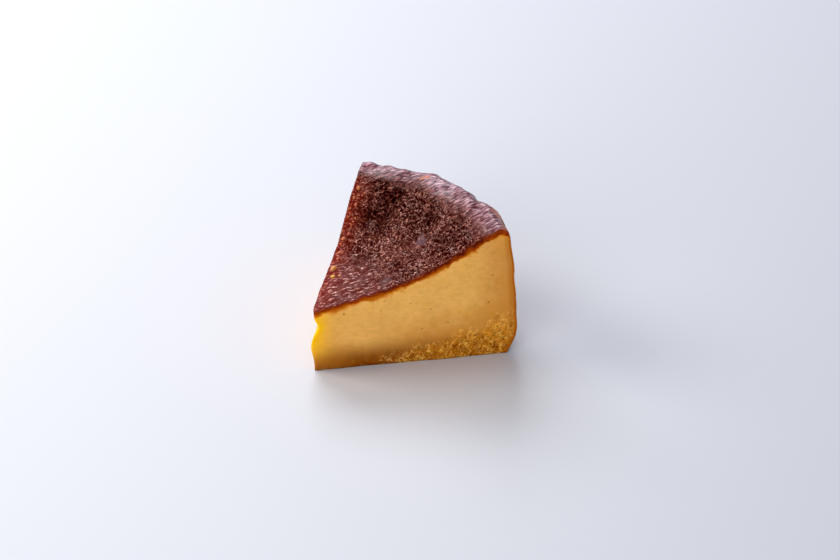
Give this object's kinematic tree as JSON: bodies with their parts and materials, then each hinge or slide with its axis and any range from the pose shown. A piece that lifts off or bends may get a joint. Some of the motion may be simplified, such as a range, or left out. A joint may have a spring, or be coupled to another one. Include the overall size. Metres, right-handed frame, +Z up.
{
  "type": "basque burnt cheesecake slice",
  "caption": "Tall wedge cut from a round burnt cheesecake, with a dark sunken top, two smooth cut faces and a browned, paper-pleated outer wall.",
  "frame": {"origin": "centre of the slice's box, on the flat base that it stands on", "axes": "+Z up, +Y from the tip towards the outer wall along the middle of the wedge, +X across the outer wall"},
  "size_m": [0.0802, 0.0734, 0.056],
  "materials": {
    "baked_cheesecake": "satin custard with a dark, glossy, wrinkled burnt top"
  },
  "bodies": {
    "root": {"cheesecake_slice": "baked_cheesecake"}
  },
  "joints": []
}
